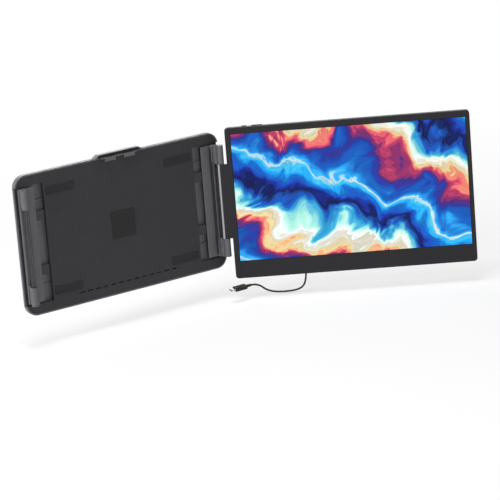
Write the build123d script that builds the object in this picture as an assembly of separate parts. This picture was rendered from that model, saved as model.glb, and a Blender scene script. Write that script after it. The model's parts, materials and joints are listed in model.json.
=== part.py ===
"""Clip-on screen extender for a laptop.

A thin frame seats against the back of a laptop's lid.  A sprung clip
holds the lid's top edge, a clamp slides out on each side to hold its
left and right edges, and a second monitor hangs on the right clamp's
hinge.  The left clamp carries the same hinge, left bare.

Millimetres, +X to the user's right, +Y away from the user, +Z up
along the lid.  The origin is the centre of the lid seat pad's face.
"""
from build123d import *
from math import cos, radians, sin, tan
import os

os.makedirs("parts", exist_ok=True)

# ---- the lid that is held ------------------------------------------
lid_width = 310.5
lid_thickness = 5.0
lid_top = 100.3

# ---- frame ---------------------------------------------------------
frame_past_lid = 15.75
frame_over_lid = 2.7
frame_corner = 18.0
frame_front = 0.8
frame_back = 10.8
frame_wall = 1.8
frame_edge = 3.0
panel_back = 2.4
panel_gap = 0.15
rim_width = 2.0
window_margin = 16.0
window_lap = 29.25
sill_front = 5.2
pad_width = 46.0
pad_height = 12.0
pad_inset = 4.0
pad_drop = 29.0
seat_pad_size = 40.0
screw_inset = 25.0
screw_drop = 8.5
clip_screw_x = 78.0

# ---- side clamps ---------------------------------------------------
slide_front = 2.8
slide_back = 4.8
head_depth = 1.1
slide_lap = 14.25
arm_length = 101.0
arm_height = 14.0
arm_z = 40.0
rail_clearance = 3.0
rail_width = 11.45
rail_gap = 1.0
guard_thickness = 2.0
guard_front = -4.7
lip_over = 0.9
lip_gap = 0.3
lip_thickness = 1.2
guide_clearance = 0.35
guide_wall = 1.6
leaf_thickness = 0.15
leaf_rise = 0.12
guide_length = 48.0
guide_inset = 8.0

# ---- hinges --------------------------------------------------------
hinge_offset = 9.4
hinge_y = -13.6
hinge_mid = 0.8
knuckle_over = 0.5
knuckle_length = 27.5
knuckle_radius = 4.9
knuckle_gap = 0.7
pin_radius = 2.0
pin_clearance = 0.05
washer_thickness = 0.4

# ---- monitor -------------------------------------------------------
screen_angle = 34.1
monitor_gap = 8.8
monitor_width = 357.7
monitor_height = 228.6
monitor_bottom = -117.9
monitor_depth = 11.0
monitor_corner = 5.0
bezel_left = 7.6
bezel_right = 5.9
bezel_top = 9.1
bezel_bottom = 25.9
bezel_front = 1.2
bezel_depth = 3.4
bezel_wall = 1.6
tray_wall = 1.6
cell_thickness = 1.5
light_thickness = 1.9
panel_lap = 3.4
bay_x = 103.5
bay_width = 24.0
bay_height = 21.6
bay_plug_length = 13.0
bay_relief_length = 7.0
plug_centre = 7.1
socket_depth = 7.45
button_depth = 7.2
button_size = 3.4
button_width = 7.0
button_stand = 0.8
power_u = 29.3
menu_u = 48.0
menu_width = 16.0
menu_pivot_drop = 2.4

# ---- cord ----------------------------------------------------------
cord_diameter = 2.8
plug_width = 12.0
plug_height = 6.4
plug_length = 20.0
shell_width = 8.3
shell_height = 2.5
shell_length = 6.5
relief_length = 9.0
port_y = -33.0
port_z = -129.4
plug_clear = 2.75
lid_lean = 7.2

# ---- top clip ------------------------------------------------------
clip_base = 82.0
clip_top = 67.0
clip_rise = 5.4
clip_front = -3.5
clip_back = 5.2
finger_inner = 7.2
finger_outer = 24.6
finger_drop = 2.6
grip_border = 2.2
grip_sink = 0.6
grip_proud = 0.25
grip_pitch = 4.0
stem_width = 46.0
stem_length = 46.0
stem_gap = 0.4
spring_x = 18.0
spring_drop = 52.2
spring_length = 22.0

# ---- kickstand -----------------------------------------------------
stand_width = 112.0
stand_top = 16.0
stand_height = 108.0
stand_border = 8.0
stand_thickness = 2.6
stand_gap = 0.5
stand_pin_radius = 0.8
stand_pin_drop = 1.6

# ---- derived -------------------------------------------------------
lid_edge = lid_width / 2
hinge_x = lid_edge + hinge_offset
plug_start = lid_edge + plug_clear
frame_top = lid_top + frame_over_lid
frame_height = 2 * frame_top
frame_width = lid_width + 2 * frame_past_lid
window_half = frame_top - window_margin
window_inner = lid_edge - window_lap
pad_x = window_inner - pad_inset - pad_width / 2
pad_z = frame_top - pad_drop
slide_inner = lid_edge - slide_lap
slide_reach = slide_inner - arm_length
rail_outer = lid_edge + rail_width
rail_half = window_half - rail_clearance
guide_x1 = window_inner - guide_inset
guide_x0 = guide_x1 - guide_length
knuckle_outer = rail_half + knuckle_over
knuckle_inner = knuckle_outer - knuckle_length
barrel_half = knuckle_inner - knuckle_gap
spring_foot = frame_top - spring_drop
stand_bottom = stand_top - stand_height
floor_front = frame_back - frame_wall
gap_u = monitor_gap
bezel_left_u = gap_u + bezel_left
bezel_right_u = gap_u + monitor_width - bezel_right
window_width = bezel_right_u - bezel_left_u
window_height = monitor_height - bezel_top - bezel_bottom
window_u = (bezel_left_u + bezel_right_u) / 2
window_z = monitor_bottom + bezel_bottom + window_height / 2
monitor_u = gap_u + monitor_width / 2
monitor_z = monitor_bottom + monitor_height / 2
face_y = -knuckle_radius
stem_y = (slide_front + slide_back) / 2
stand_y = frame_back - stand_thickness / 2
stand_pin_z = stand_top - stand_pin_drop
made = []


def slab(width, height, corner, y0, y1, x=0.0, z=0.0):
    """A plate facing -Y with rounded corners, from y0 back to y1."""
    if corner > 0:
        outline = RectangleRounded(width, height, corner)
    else:
        outline = Rectangle(width, height)
    return Pos(x, y1, z) * extrude(Plane.XZ * outline, y1 - y0)


def block(x0, x1, y0, y1, z0, z1):
    """A box between two corners."""
    return Pos((x0 + x1) / 2, (y0 + y1) / 2, (z0 + z1) / 2) * Box(
        abs(x1 - x0), abs(y1 - y0), abs(z1 - z0))


def rod(radius, z0, z1, x=0.0, y=0.0):
    """An upright cylinder."""
    return Pos(x, y, (z0 + z1) / 2) * Cylinder(radius, z1 - z0)


def rod_y(radius, y0, y1, x=0.0, z=0.0):
    """A cylinder lying front to back."""
    return Pos(x, (y0 + y1) / 2, z) * Rot(90, 0, 0) * Cylinder(
        radius, abs(y1 - y0))


def edges_at(solid, axis, value, tol=0.05):
    """Edges whose centres lie at one height along an axis."""
    return solid.edges().filter_by(
        lambda e: abs(_along(e.center(), axis) - value) < tol)


def _along(point, axis):
    return {"x": point.X, "y": point.Y, "z": point.Z}[axis]


def save(shape, name):
    """Write one named piece, or a group of like pieces."""
    if isinstance(shape, list):
        solids = []
        for one in shape:
            solids.extend(one.solids())
        shape = Compound(children=solids)
    shape.label = name
    made.append((name, shape))
    export_step(shape, f"parts/{name}.step")


def countersunk(radius, head, length, y, x, z):
    """A countersunk screw whose head is flush with y."""
    shank = rod_y(radius, y - length, y - 0.6, x, z)
    cone = Pos(x, y - 0.6, z) * Rot(-90, 0, 0) * Cone(
        radius, head, 1.2)
    drive = Pos(x, y, z) * Rot(90, 0, 0) * extrude(
        RegularPolygon(head * 0.42, 6), 0.5, both=True)
    body = shank + cone
    return body - drive


# ---------------------------------------------------------------- frame
def frame_rear_shell():
    """The tray that closes the frame's back."""
    shell = slab(frame_width, frame_height, frame_corner,
                 frame_front, frame_back)
    shell = fillet(edges_at(shell, "y", frame_back), frame_edge)
    hollow = slab(frame_width - 2 * rim_width,
                  frame_height - 2 * rim_width,
                  frame_corner - rim_width,
                  frame_front - 1, floor_front)
    shell -= hollow
    for side in (-1, 1):
        shell -= block(side * window_inner, side * frame_width,
                       frame_front - 1, sill_front,
                       -window_half, window_half)
    # the kickstand's pocket and its two hinge ears
    half = stand_width / 2 + stand_border
    boss = block(-half, half, 5.6, floor_front + 0.5,
                 stand_bottom - 6, stand_top + stand_border)
    shell += boss
    shell -= slab(stand_width + 2 * stand_gap,
                  stand_top - stand_bottom + 2 * stand_gap, 4.0,
                  frame_back - stand_thickness - 0.6, frame_back + 1,
                  0, (stand_top + stand_bottom) / 2)
    finger = Pos(0, frame_back, stand_bottom) * Rot(90, 0, 0) * (
        Cylinder(11, 5.6))
    shell -= finger
    # room for the leg's end to turn, and the pin's holes
    shell -= block(-stand_width / 2 - stand_gap,
                   stand_width / 2 + stand_gap, stand_y - 2.3,
                   frame_back + 1, stand_pin_z - 2.3,
                   stand_pin_z + 2.3)
    shell -= Pos(0, stand_y, stand_pin_z) * Rot(0, 90, 0) * (
        Cylinder(stand_pin_radius, stand_width + 10))
    # slot in the top wall for the clip's stem
    shell -= block(-stem_width / 2 - stem_gap,
                   stem_width / 2 + stem_gap,
                   panel_back, slide_back + stem_gap,
                   frame_top - rim_width - 1, frame_top + 1)
    for x, z in screw_places():
        shell += rod_y(3.6, 6.6, floor_front + 0.2, x, z)
        shell -= rod_y(1.3, 5, frame_back + 1, x, z)
        shell -= Pos(x, frame_back - 0.65, z) * Rot(-90, 0, 0) * Cone(
            1.3, 2.7, 1.4)
    # stiffening ribs inside
    for z in (-62, 62):
        for side in (-1, 1):
            shell += block(side * (half + 2), side * (lid_edge - 5),
                           7.4, floor_front + 0.2, z - 1, z + 1)
    return shell


def screw_places():
    """The six screws that hold the front panel on."""
    far = frame_width / 2 - screw_inset
    high = frame_top - screw_drop
    return [(x, z) for z in (-high, high) for x in (-far, far)] + [
        (-clip_screw_x, high), (clip_screw_x, high)]


def frame_front_panel():
    """The plate that faces the lid."""
    w = frame_width - 2 * rim_width - 2 * panel_gap
    h = frame_height - 2 * rim_width - 2 * panel_gap
    panel = slab(w, h, frame_corner - rim_width - panel_gap,
                 frame_front, panel_back)
    for side in (-1, 1):
        panel -= block(side * window_inner, side * frame_width, -1, 5,
                       -window_half, window_half)
    # shallow recesses for the pads
    for x, z, pw, ph in pad_places():
        panel -= slab(pw + 0.2, ph + 0.2, 2.1, frame_front - 1,
                      frame_front + 0.4, x, z)
    for x, z in screw_places():
        panel += rod_y(2.8, panel_back - 0.1, 6.3, x, z)
        panel -= rod_y(1.25, 3.4, 7, x, z)
    # slotted vents low in the middle
    for i in range(-6, 7):
        panel -= slab(9, 1.8, 0.85, -1, 5, i * 13.0,
                      1 - window_half)
    return panel


def pad_places():
    """Centre and size of each rubber pad."""
    corners = [(sx * pad_x, sz * pad_z, pad_width, pad_height)
               for sx in (-1, 1) for sz in (-1, 1)]
    return corners + [(0, 0, seat_pad_size, seat_pad_size)]


def rubber_pad(x, z, w, h):
    """One pad, seated in its recess, its face at y = 0."""
    pad = slab(w, h, 2.0, 0, frame_front + 0.4, x, z)
    return fillet(edges_at(pad, "y", 0), 0.3)


# --------------------------------------------------------- side clamps
def mirrored(shape, side):
    """The right-hand shape, or its mirror image for the left."""
    return shape if side > 0 else mirror(shape, Plane.YZ)


def clamp_slide():
    """Steel plate with two arms that run in the frame's guides."""
    plate = block(slide_inner, rail_outer - 1.5, slide_front,
                  slide_back, -rail_half + 1, rail_half - 1)
    for z in (-arm_z, arm_z):
        plate += block(slide_reach, slide_inner + 1, slide_front,
                       slide_back, z - arm_height / 2,
                       z + arm_height / 2)
    # a lightening slot along each arm, and the screws' holes
    for z in (-arm_z, arm_z):
        plate -= slab(60, 3.2, 1.5, slide_front - 1, slide_back + 1,
                      slide_reach + 56, z)
    for z in rail_screws():
        plate -= rod_y(1.05, slide_front - 1, slide_back + 1,
                       slide_inner + 6, z)
        plate -= rod_y(2.3, slide_back - head_depth, slide_back + 1,
                       slide_inner + 6, z)
    return plate


def rail_screws():
    """Heights of the screws that join a rail to its slide."""
    return (8 - window_half + 11, 0, window_half - 19)


def clamp_rail():
    """Moulded rail beside the lid's edge, with two hinge knuckles."""
    inner = lid_edge + rail_gap
    rail = block(slide_inner, inner, frame_front + 0.1, slide_front,
                 -rail_half, rail_half)
    rail += block(inner, rail_outer, -0.2, slide_front,
                  -rail_half, rail_half)
    # guard wall beside the lid
    rail += block(inner, inner + guard_thickness, guard_front, 0,
                  -rail_half, rail_half)
    # rounded ridge along the outer edge
    rail += block(rail_outer - 3.2, rail_outer, -1.4, 0.5,
                  -rail_half, rail_half)
    ridge = rail.edges().filter_by(Axis.Z).filter_by(
        lambda e: abs(e.center().X - rail_outer) < 0.05)
    rail = fillet(ridge, 1.2)
    for z0, z1 in knuckle_spans():
        rail += knuckle_block(z0, z1)
    # bores for the pin, and screws from behind
    rail -= rod(pin_radius, hinge_mid - knuckle_outer + 1.5,
                hinge_mid + knuckle_outer - 1.5, hinge_x, hinge_y)
    for z in rail_screws():
        rail -= rod_y(1.0, frame_front + 0.7, slide_front + 1,
                      slide_inner + 6, z)
    return rail


def knuckle_spans():
    """Lower and upper knuckle, bottom and top height."""
    return [(hinge_mid - knuckle_outer, hinge_mid - knuckle_inner),
            (hinge_mid + knuckle_inner, hinge_mid + knuckle_outer)]


def knuckle_block(z0, z1):
    """One knuckle with its web back to the rail and a lid lip."""
    inner = lid_edge + rail_gap
    barrel = rod(knuckle_radius, z0, z1, hinge_x, hinge_y)
    web_out = hinge_x + 0.6
    web = block(inner + 0.9, web_out, hinge_y, 0, z0 + 0.6, z1 - 0.6)
    lip_y1 = -lid_thickness - lip_gap
    lip_y0 = lip_y1 - lip_thickness
    lip = block(lid_edge - lip_over, web_out - 2, lip_y0, lip_y1,
                z0 + 3, z1 - 3)
    lip = fillet(edges_at(lip, "x", lid_edge - lip_over), 0.45)
    wall = block(inner, inner + guard_thickness, lip_y0 + 0.2, 0,
                 z0 + 3, z1 - 3)
    web = fillet(web.edges().filter_by(
        lambda e: e.center().X > web_out - 0.05
        and abs(e.center().Z - z0 - 0.6) < 0.05), 0.5)
    body = barrel + web + lip + wall
    # end caps read as a stepped ring
    ring = rod(knuckle_radius + 1, z1 - 0.9, z1 - 0.6, hinge_x,
               hinge_y) - rod(knuckle_radius - 0.35, z1 - 1, z1,
                              hinge_x, hinge_y)
    ring -= block(hinge_x - 20, hinge_x + 20, hinge_y + 3, 10,
                  z1 - 2, z1)
    body -= ring
    return body


def rail_pad():
    """Rubber strip between the guard wall and the lid's edge."""
    return block(lid_edge, lid_edge + rail_gap, -lid_thickness + 0.6,
                 -0.1, -rail_half + 4, rail_half - 4)


def hinge_pin():
    """Steel pin through both knuckles and what turns between them."""
    return rod(pin_radius, hinge_mid - knuckle_outer + 1.6,
               hinge_mid + knuckle_outer - 1.6, hinge_x, hinge_y)


def washers():
    """Nylon washers at the inner ends of the knuckles."""
    out = []
    for z in (hinge_mid - knuckle_inner, hinge_mid
              + knuckle_inner - washer_thickness):
        ring = rod(knuckle_radius - 0.7, z, z + washer_thickness,
                   hinge_x, hinge_y)
        ring -= rod(pin_radius + pin_clearance, z - 1, z + 1.5,
                    hinge_x, hinge_y)
        out.append(ring)
    return out


def slide_screws():
    """Screws that fix the rail to its slide."""
    out = []
    for z in rail_screws():
        shank = rod_y(1.0, 1.6, slide_back - 0.5, slide_inner + 6, z)
        head = rod_y(2.2, slide_back - head_depth, slide_back - 0.1,
                     slide_inner + 6, z)
        cut = Pos(slide_inner + 6, slide_back - 0.1, z) * Rot(
            90, 0, 0) * extrude(RegularPolygon(1.0, 6), 0.5, both=True)
        out.append(shank + head - cut)
    return out


def clamp_guides():
    """Channels inside the frame that carry the clamps' arms."""
    out = []
    half = arm_height / 2 + guide_clearance
    for side in (-1, 1):
        for z in (-arm_z, arm_z):
            x0, x1 = side * guide_x0, side * guide_x1
            web = block(x0, x1, slide_back + guide_clearance,
                        slide_back + guide_clearance + guide_wall,
                        z - half - guide_wall, z + half + guide_wall)
            walls = block(x0, x1, panel_back, floor_front,
                          z - half - guide_wall, z - half)
            walls += block(x0, x1, panel_back, floor_front,
                           z + half, z + half + guide_wall)
            out.append(web + walls)
    return out


def friction_leaves():
    """Bent spring leaves that press on the clamps' arms."""
    out = []
    y = slide_back + guide_clearance
    section = make_face(Polyline(
        (-16, y), (-13, y), (-6, y - leaf_rise), (6, y - leaf_rise),
        (13, y), (16, y), (16, y - leaf_thickness),
        (12.5, y - leaf_thickness),
        (6, y - leaf_rise - leaf_thickness),
        (-6, y - leaf_rise - leaf_thickness),
        (-12.5, y - leaf_thickness), (-16, y - leaf_thickness),
        close=True))
    for side in (-1, 1):
        for z in (-arm_z, arm_z):
            mid = side * (guide_x0 + guide_x1) / 2
            out.append(Pos(mid, 0, z) * extrude(section, 3.0,
                                                both=True))
    return out


# ------------------------------------------------------------ top clip
def clip_hook():
    """Trapezoid body on the frame's top edge with two lid fingers."""
    z0 = lid_top + 0.6
    z1 = frame_top + clip_rise
    half_b, half_t = clip_base / 2, clip_top / 2
    outline = Polyline((-half_b, frame_top + 0.3), (-half_t, z1),
                       (half_t, z1), (half_b, frame_top + 0.3),
                       close=True)
    body = Pos(0, clip_back, 0) * extrude(
        Plane.XZ * make_face(outline), clip_back - clip_front)
    body = fillet(body.edges().filter_by(
        lambda e: abs(e.center().Z - z1) < 0.05), 1.1)
    # front apron that comes down to the lid's top edge
    apron = block(-half_t + 4, half_t - 4, clip_front,
                  frame_front - 0.3, z0, frame_top + 1.5)
    body += apron
    finger_y1 = -lid_thickness - lip_gap
    finger_y0 = finger_y1 - 1.6
    for side in (-1, 1):
        x0, x1 = side * finger_inner, side * finger_outer
        shelf = block(x0, x1, finger_y0, clip_front + 0.5,
                      z0, z0 + 1.9)
        drop = block(x0, x1, finger_y0, finger_y1,
                     lid_top - finger_drop, z0 + 1.9)
        grip = shelf + drop
        grip = fillet(edges_at(grip, "y", finger_y0).filter_by(
            Axis.X), 0.6)
        body += grip
    # sockets for the stem's dowels
    for x in (-15, 15):
        body -= Pos(x, stem_y, frame_top + 1.7) * Cylinder(0.9, 2.9)
    # shallow pocket for the grip strip
    return body - grip_outline(clip_front - 1, clip_front + grip_sink)


def grip_outline(y0, y1):
    """The strip's tapered outline on the clip, from y0 back to y1."""
    z0 = frame_top + 0.9
    z1 = frame_top + clip_rise - 0.9
    slope = (clip_base - clip_top) / 2 / (clip_rise - 0.3)
    half_t = clip_top / 2 - grip_border
    half_b = half_t + slope * (z1 - z0)
    outline = Polyline((-half_b, z0), (-half_t, z1), (half_t, z1),
                       (half_b, z0), close=True)
    return Pos(0, y1, 0) * extrude(Plane.XZ * make_face(outline),
                                   y1 - y0)


def clip_grip():
    """Rubber strip across the clip's front, grooved for a thumb."""
    strip = grip_outline(clip_front - grip_proud,
                         clip_front + grip_sink)
    for i in range(-5, 6):
        strip -= block(i * grip_pitch - 0.5, i * grip_pitch + 0.5,
                       clip_front - grip_proud - 1,
                       clip_front + 0.15, frame_top + 1.5,
                       frame_top + clip_rise - 1.5)
    return strip


def clip_stem():
    """Plate that slides down inside the frame behind the panel."""
    plate = slab(stem_width, stem_length, 2.0, slide_front,
                 slide_back, 0, frame_top + 0.3 - stem_length / 2)
    for x in (-10, 10):
        plate -= slab(3.4, 32, 1.6, 0, 9, x, frame_top - 24)
    for x in (-15, 15):
        plate += Pos(x, stem_y, frame_top + 0.8) * Cylinder(0.85, 3.6)
    for x in (-spring_x, spring_x):
        plate += rod_y(0.8, slide_back - 0.2, 8.3, x,
                       spring_foot + spring_length + 1.4)
    return plate


def clip_guide():
    """Bridge and side walls that the stem slides between."""
    top = frame_top - 4
    half = stem_width / 2 + stem_gap
    bridge = block(-14, 14, slide_back + stem_gap,
                   slide_back + stem_gap + 1.4, top - 14, top)
    bridge += block(-5, 5, slide_back + 1, floor_front,
                    top - 12, top - 2)
    for x in (-10, 10):
        bridge += rod_y(1.3, slide_front + 0.2, 5.4, x, top - 7)
    walls = [block(side * half, side * (half + 4), panel_back + 0.05,
                   floor_front, top - 14, top) for side in (-1, 1)]
    return [bridge] + walls


def clip_pad():
    """Rubber strip under the clip that bears on the lid's edge."""
    half = clip_top / 2 - 6
    return block(-half, half, clip_front + 0.4, frame_front - 0.6,
                 lid_top, lid_top + 0.6)


def clip_springs():
    """Two extension springs that draw the clip down."""
    out = []
    for x in (-spring_x, spring_x):
        coil = Helix(pitch=2.0, height=spring_length, radius=1.3)
        path = Pos(x, 6.9, spring_foot) * coil
        wire = sweep(Plane(origin=path @ 0, z_dir=path % 0)
                     * Circle(0.25), path, is_frenet=True)
        out.append(wire)
    return out


def spring_posts():
    """Anchors for the springs on the shell's floor."""
    out = []
    for x in (-spring_x, spring_x):
        out.append(rod_y(0.8, 5.6, floor_front, x, spring_foot - 1.4))
    return out


# ----------------------------------------------------------- kickstand
def kickstand_plate():
    """Fold-out leg, stowed flat in the frame's back."""
    y1 = frame_back
    y0 = y1 - stand_thickness
    mid = (stand_top + stand_bottom) / 2
    plate = slab(stand_width, stand_top - stand_bottom, 3.6, y0, y1,
                 0, mid)
    plate = chamfer(edges_at(plate, "y", y1), 0.4)
    plate -= Pos(0, stand_y, stand_pin_z) * Rot(0, 90, 0) * (
        Cylinder(stand_pin_radius + pin_clearance, stand_width + 4))
    plate -= slab(70, 44, 6, y0 - 1, y0 + 0.9, 0, mid - 4)
    for i in range(5):
        plate -= block(-24, 24, y1 - 0.35, y1 + 1,
                       stand_bottom + 12 + i * 2.4,
                       stand_bottom + 13.1 + i * 2.4)
    return plate


def kickstand_pin():
    """Steel pin that the leg turns on."""
    return Pos(0, stand_y, stand_pin_z) * Rot(0, 90, 0) * Cylinder(
        stand_pin_radius, stand_width + 9.6)


def kickstand_foot():
    """Rubber edge along the leg's foot."""
    y0 = frame_back - stand_thickness - 0.02
    return block(-38, 38, y0 - 0.35, y0 + 0.02, stand_bottom + 2,
                 stand_bottom + 9)


# ------------------------------------------------------------- monitor
def placed(shape):
    """Turn a piece from the monitor's own frame to where it hangs."""
    return Pos(hinge_x, hinge_y, 0) * Rot(0, 0, -screen_angle) * shape


def deep(y):
    """Depth behind the monitor's front face, in its own frame."""
    return face_y + y


def monitor_bezel():
    """Front frame with the hinge leaf and its barrel in one."""
    body = slab(monitor_width, monitor_height, monitor_corner,
                deep(0), deep(bezel_depth), monitor_u, monitor_z)
    body -= slab(monitor_width - 2 * bezel_wall,
                 monitor_height - 2 * bezel_wall,
                 monitor_corner - bezel_wall,
                 deep(bezel_front), deep(bezel_depth + 1),
                 monitor_u, monitor_z)
    body -= slab(window_width, window_height, 0, deep(-1), deep(3),
                 window_u, window_z)
    front = body.edges().filter_by(
        lambda e: abs(e.center().Y - deep(0)) < 0.02
        and (abs(e.center().X - monitor_u) > window_width / 2 + 3
             or abs(e.center().Z - monitor_z) > window_height / 2
             + 12))
    body = fillet(front, 0.7)
    z0, z1 = hinge_mid - barrel_half, hinge_mid + barrel_half
    leaf = block(0, gap_u + 1.0, deep(0), deep(2.8), z0, z1)
    leaf += block(gap_u - 0.2, gap_u + 4, deep(0), deep(bezel_depth),
                  z0 + 1, z1 - 1)
    body += leaf
    body += rod(knuckle_radius, z0, z1)
    body -= rod(pin_radius + pin_clearance, z0 - 1, z1 + 1)
    # bosses behind the frame for the back cover's screws
    for u, z in cover_screws():
        body += rod_y(2.4, deep(bezel_front - 0.1), deep(6.4), u, z)
        body -= rod_y(0.95, deep(2.2), deep(7), u, z)
    return body


def cover_screws():
    """Where the back cover is screwed on."""
    z0 = monitor_bottom + 5.0
    z1 = monitor_bottom + monitor_height - 4.6
    places = []
    for f in (0.06, 0.62, 0.94):
        places.append((gap_u + monitor_width * f, z0))
    for f in (0.25, 0.6, 0.94):
        places.append((gap_u + monitor_width * f, z1))
    return places


def display_glass():
    """Matt front film of the panel, set just behind the frame."""
    return slab(window_width + 2.2, window_height + 2.2, 0,
                deep(bezel_front + 0.02), deep(bezel_front + 0.5),
                window_u, window_z)


def display_cell():
    """The liquid crystal cell behind the film."""
    y = bezel_front + 0.52
    return slab(window_width + panel_lap, window_height + panel_lap,
                0, deep(y), deep(y + cell_thickness), window_u,
                window_z)


def backlight():
    """Light guide and its folded tray."""
    y = bezel_front + 0.54 + cell_thickness
    tray = slab(window_width + panel_lap, window_height + panel_lap,
                0, deep(y), deep(y + light_thickness), window_u,
                window_z)
    for i in (-1, 0, 1):
        for k in (-1, 1):
            tray -= slab(88, 70, 5, deep(y + light_thickness - 0.35),
                         deep(y + light_thickness + 1),
                         window_u + i * 104, window_z + k * 42)
    return tray


def driver_board():
    """Circuit board low in the case, with its larger chips."""
    y = 6.2
    board = slab(150, 30, 1.0, deep(y), deep(y + 1.0),
                 monitor_u + 30, monitor_bottom + 50)
    for u, z, w, h, d in ((0, 52, 12, 12, 1.2), (26, 50, 9, 9, 1.0),
                          (-28, 54, 10, 6, 1.3), (52, 46, 14, 7, 1.5),
                          (-50, 48, 7, 7, 1.0)):
        board += slab(w, h, 0.4, deep(y + 0.9), deep(y + 1.0 + d),
                      monitor_u + 30 + u, monitor_bottom + z)
    return board


def port_board():
    """Small board that carries the side sockets."""
    return slab(26, 96, 1.0, deep(5.18), deep(5.78),
                gap_u + monitor_width - 18, monitor_bottom + 74)


def back_cover():
    """Hollow back with a bay for the cord's plug."""
    y0, y1 = deep(bezel_depth + 0.05), deep(monitor_depth)
    body = slab(monitor_width, monitor_height, monitor_corner,
                y0, y1, monitor_u, monitor_z)
    body = fillet(edges_at(body, "y", y1), 3.2)
    body -= slab(monitor_width - 2 * tray_wall,
                 monitor_height - 2 * tray_wall,
                 monitor_corner - tray_wall, y0 - 1, y1 - tray_wall,
                 monitor_u, monitor_z)
    bay_u = gap_u + bay_x
    half = bay_width / 2
    bottom, top = monitor_bottom, monitor_bottom + bay_height
    # walls round the bay, then the bay itself
    body += block(bay_u - half - 1.4, bay_u + half + 1.4, y0,
                  y1 - 1, bottom + 1, top + 1.4)
    body -= block(bay_u - half, bay_u + half, y0 - 1, y1 + 1,
                  bottom - 1, top)
    body -= Pos(bay_u, deep(plug_centre), top + 1.5) * Box(
        shell_width + 0.6, shell_height + 0.6, 5)
    # screws, vents and speaker slots
    for u, z in cover_screws():
        body += rod_y(3.3, deep(6.5), y1 - 1.0, u, z)
        body -= rod_y(1.15, deep(6), deep(12), u, z)
        body -= rod_y(2.5, y1 - 2.0, y1 + 1, u, z)
    for side in (-1, 1):
        for i in range(16):
            body -= slab(1.3, 9, 0.6, y1 - 3, y1 + 1,
                         monitor_u + side * 128 + (i - 7.5) * 2.6,
                         monitor_bottom + 22)
    for i in range(30):
        body -= slab(1.6, 7, 0.75, y1 - 3, y1 + 1,
                     monitor_u + 30 + (i - 14.5) * 4.2,
                     monitor_bottom + monitor_height - 24)
    # side sockets on the far edge
    u1 = gap_u + monitor_width
    for z, w, h in socket_places():
        body -= Pos(u1, deep(socket_depth), monitor_bottom + z) * Box(
            8, h + 0.3, w + 0.3)
    # openings for the power button and the menu rocker
    top_z = monitor_bottom + monitor_height
    body -= Pos(gap_u + power_u, deep(button_depth), top_z) * Box(
        button_width + 0.7, button_size + 0.7, 8)
    body -= Pos(gap_u + menu_u, deep(button_depth), top_z) * Box(
        menu_width + 0.7, button_size + 0.7, 8)
    # a fine groove framing the middle of the back
    body -= (slab(200, 110, 14, y1 - 0.35, y1 + 1, monitor_u,
                  monitor_z + 6)
             - slab(197.6, 107.6, 12.8, y1 - 1, y1 + 2, monitor_u,
                    monitor_z + 6))
    return body


def socket_places():
    """Height, width and thickness of each socket on the far edge."""
    return [(46, 9.0, 3.2), (66, 9.0, 3.2), (88, 11.2, 3.3)]


def socket(z, width, height):
    """A metal socket shell with its tongue."""
    depth = 7.0
    u1 = gap_u + monitor_width - 0.5
    y = deep(socket_depth)
    r = height / 2 - 0.05
    outline = RectangleRounded(height, width, r)
    plane = Plane(origin=(u1 - depth, y, monitor_bottom + z),
                  x_dir=(0, 1, 0), z_dir=(1, 0, 0))
    outer = extrude(plane * outline, depth)
    inner = extrude(plane * RectangleRounded(
        height - 0.6, width - 0.6, r - 0.3), depth + 1)
    back = extrude(plane * outline, 0.8)
    tongue = extrude(plane * Rectangle(0.7, width - 2.6), depth - 1)
    return outer - inner + back + tongue


def bay_socket():
    """Socket above the bay that the cord's plug pushes into."""
    z0 = monitor_bottom + bay_height + 0.2
    plane = Plane(origin=(gap_u + bay_x, deep(plug_centre), z0),
                  x_dir=(1, 0, 0), z_dir=(0, 0, 1))
    wide, high = shell_width + 0.2, shell_height + 0.2
    outer = extrude(plane * RectangleRounded(
        wide + 0.3, high + 0.3, high / 2 + 0.1), 8.0)
    inner = extrude(plane * RectangleRounded(wide, high,
                                             high / 2 - 0.02), 7.2)
    tongue = extrude(plane * Rectangle(6.4, 0.7), 7.5) - extrude(
        plane * Rectangle(20, 20), 1.0)
    return outer - inner + tongue


def top_button(u, width):
    """A button on the monitor's top edge."""
    top = monitor_bottom + monitor_height
    cap = block(gap_u + u - width / 2, gap_u + u + width / 2,
                deep(button_depth - button_size / 2),
                deep(button_depth + button_size / 2),
                top - 3.2, top + button_stand)
    cap = fillet(cap.edges().filter_by(
        lambda e: abs(e.center().Z - top - button_stand) < 0.05), 0.4)
    return cap


def menu_rocker():
    """A rocker with a short shaft through it to turn on."""
    z = monitor_bottom + monitor_height - menu_pivot_drop
    shaft = rod_y(0.6, deep(button_depth - 2.1),
                  deep(button_depth + 2.1), gap_u + menu_u, z)
    return top_button(menu_u, menu_width) + shaft


def speaker(side):
    """A flat speaker module behind its slots."""
    u = monitor_u + side * 128
    y1 = deep(monitor_depth) - tray_wall - 0.3
    box = slab(44, 14, 2, y1 - 2.4, y1, u, monitor_bottom + 22)
    return box - slab(34, 7, 3, y1 - 0.5, y1 + 1, u,
                      monitor_bottom + 22)


def back_screws():
    out = []
    for u, z in cover_screws():
        y1 = deep(monitor_depth)
        head = rod_y(2.1, y1 - 2.0, y1 - 0.9, u, z)
        head -= Pos(u, y1 - 0.9, z) * Rot(90, 0, 0) * extrude(
            RegularPolygon(1.0, 6), 0.5, both=True)
        out.append(head + rod_y(0.95, deep(2.4), y1 - 2.0, u, z))
    return out


# ---------------------------------------------------------------- cord
def plug_solid(width, height, length):
    """Plug overmould along +Z from its metal end, 0 to length."""
    body = extrude(RectangleRounded(width, height, height / 2 - 0.05),
                   length)
    body = fillet(body.edges().filter_by(
        lambda e: e.center().Z > length - 0.05
        or e.center().Z < 0.05), 0.8)
    return body


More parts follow.
